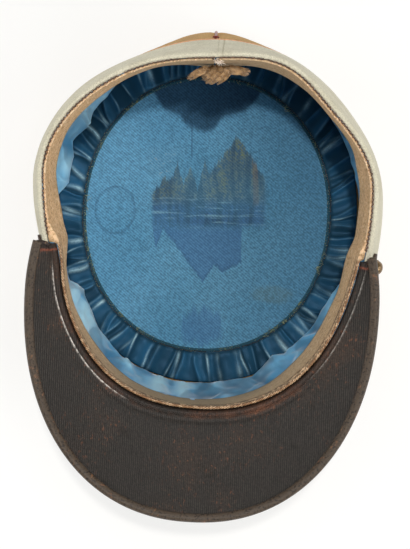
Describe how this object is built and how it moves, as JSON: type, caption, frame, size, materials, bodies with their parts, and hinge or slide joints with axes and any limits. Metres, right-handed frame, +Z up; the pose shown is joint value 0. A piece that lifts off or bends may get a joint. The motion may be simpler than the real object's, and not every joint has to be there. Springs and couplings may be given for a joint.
{
  "type": "kepi cap",
  "caption": "Soft round military-style cap lying on its crown, with a stiff ribbed peak, a lined hollow, a chin strap and side buttons.",
  "frame": {"origin": "centre of the crown's flat outer face, which lies on the floor", "axes": "+Z up out of the head opening, -Y towards the peak, +X to the right in a view from above with the peak nearest"},
  "size_m": [0.197, 0.2791, 0.1049],
  "materials": {
    "tan_wool": "milled wool cloth, slightly felted",
    "grey_wool": "pale grey wool cloth, soiled cream in places",
    "red_cloth": "dark red wool cord",
    "piping_cloth": "faded salmon wool cord",
    "tan_leather": "worn tan leather, speckled",
    "tow_fibre": "frayed tan fibre",
    "blue_satin": "light blue satin with a soft sheen",
    "dark_satin": "darker blue satin, finely gathered",
    "blue_twill": "blue twill, stained dark in the middle",
    "black_leather": "finely ribbed dark leather, scratched and worn brown at its edges",
    "worn_leather": "dark leather strip rubbed red-brown",
    "tarnished_brass": "tarnished dark brown metal"
  },
  "bodies": {
    "root": {"crown": "tan_wool", "turban": "tan_wool", "back_piping": "red_cloth", "band": "grey_wool", "band_piping": "piping_cloth", "sweatband": "tan_leather", "back_tuft": "tow_fibre", "side_lining": "blue_satin", "gathered_ring": "dark_satin", "crown_lining": "blue_twill", "peak": "black_leather", "peak_binding": "worn_leather", "peak_welt": "tan_leather", "chin_strap": "worn_leather", "side_button_left": "tarnished_brass", "side_button_right": "tarnished_brass"}
  },
  "joints": []
}
